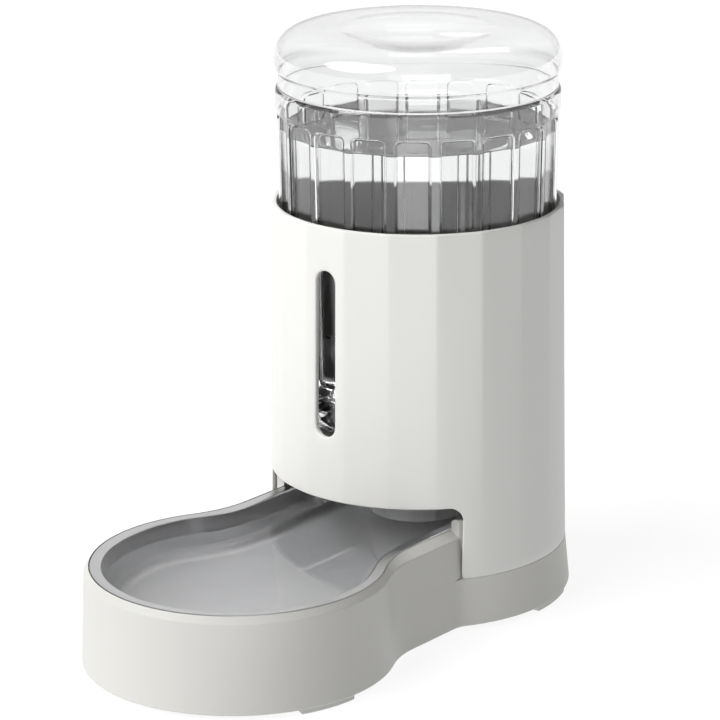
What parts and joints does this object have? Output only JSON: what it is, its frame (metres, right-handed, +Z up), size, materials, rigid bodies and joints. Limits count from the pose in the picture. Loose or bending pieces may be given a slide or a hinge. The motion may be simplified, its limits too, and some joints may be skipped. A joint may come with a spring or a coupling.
{
  "type": "gravity pet feeder",
  "caption": "Gravity pet feeder: clear fluted water bottle upside down in a white faceted sleeve, on a base with a keyhole-shaped steel bowl.",
  "frame": {"origin": "on the floor, at the centre of the footprint's box", "axes": "+Z up; the bowl points to -Y and the tower stands at +Y; X = 0 is the plane of symmetry"},
  "size_m": [0.182, 0.3442, 0.3393],
  "materials": {
    "base_plastic": "warm white moulded plastic, satin",
    "sleeve_plastic": "white moulded plastic, satin",
    "bowl_steel": "pressed stainless steel, fine brushed flange",
    "tank_clear": "clear moulded plastic, polished",
    "cap_plastic": "grey moulded plastic",
    "valve_plastic": "natural moulded plastic",
    "valve_steel": "drawn stainless wire and rod",
    "screw_steel": "zinc plated steel",
    "seal_rubber": "pale silicone",
    "foot_rubber": "off-white soft rubber"
  },
  "bodies": {
    "base": {"base_shell": "base_plastic", "tank_cradle": "base_plastic", "cradle_screws": "screw_steel", "foot_front_left": "foot_rubber", "foot_front_right": "foot_rubber", "foot_side_left": "foot_rubber", "foot_side_right": "foot_rubber", "foot_rear_left": "foot_rubber", "foot_rear_right": "foot_rubber"},
    "bowl": {"bowl": "bowl_steel"},
    "housing": {"tower_housing": "sleeve_plastic"},
    "valve_unit": {"valve_insert": "valve_plastic", "neck_gasket": "seal_rubber", "cap_washer": "seal_rubber", "valve_spring": "valve_steel"},
    "bottle": {"tank": "tank_clear"},
    "cap": {"tank_cap": "cap_plastic"},
    "valve": {"valve_stem": "valve_steel", "valve_seal": "seal_rubber", "stem_clip": "valve_steel", "stem_foot": "seal_rubber"}
  },
  "joints": [
    {"name": "bowl_lift", "type": "slide", "parent": "base", "child": "bowl", "axis": [0, 0, 1], "range_m": [0, 0.06]},
    {"name": "housing_lift", "type": "slide", "parent": "bowl", "child": "housing", "axis": [0, 0, 1], "range_m": [0, 0.08]},
    {"name": "tank_lift", "type": "slide", "parent": "housing", "child": "valve_unit", "axis": [0, 0, 1], "range_m": [0, 0.22]},
    {"name": "cap_turn", "type": "hinge", "parent": "valve_unit", "child": "cap", "pos_m": [0, 0.08108, 0], "axis": [0, 0, -1], "range_deg": [0, 360]},
    {"name": "thread_travel", "type": "slide", "parent": "valve_unit", "child": "bottle", "axis": [0, 0, 1], "range_m": [0, 0.004]},
    {"name": "valve_close", "type": "slide", "parent": "valve_unit", "child": "valve", "axis": [0, 0, 1], "range_m": [-0.004, 0], "deforming": ["valve_spring"]}
  ],
  "couplings": [
    {"joint": "cap_turn", "follows": "thread_travel", "rad_per_m": 1570.8},
    {"joint": "valve_close", "follows": "tank_lift", "ratio": -0.01818}
  ]
}
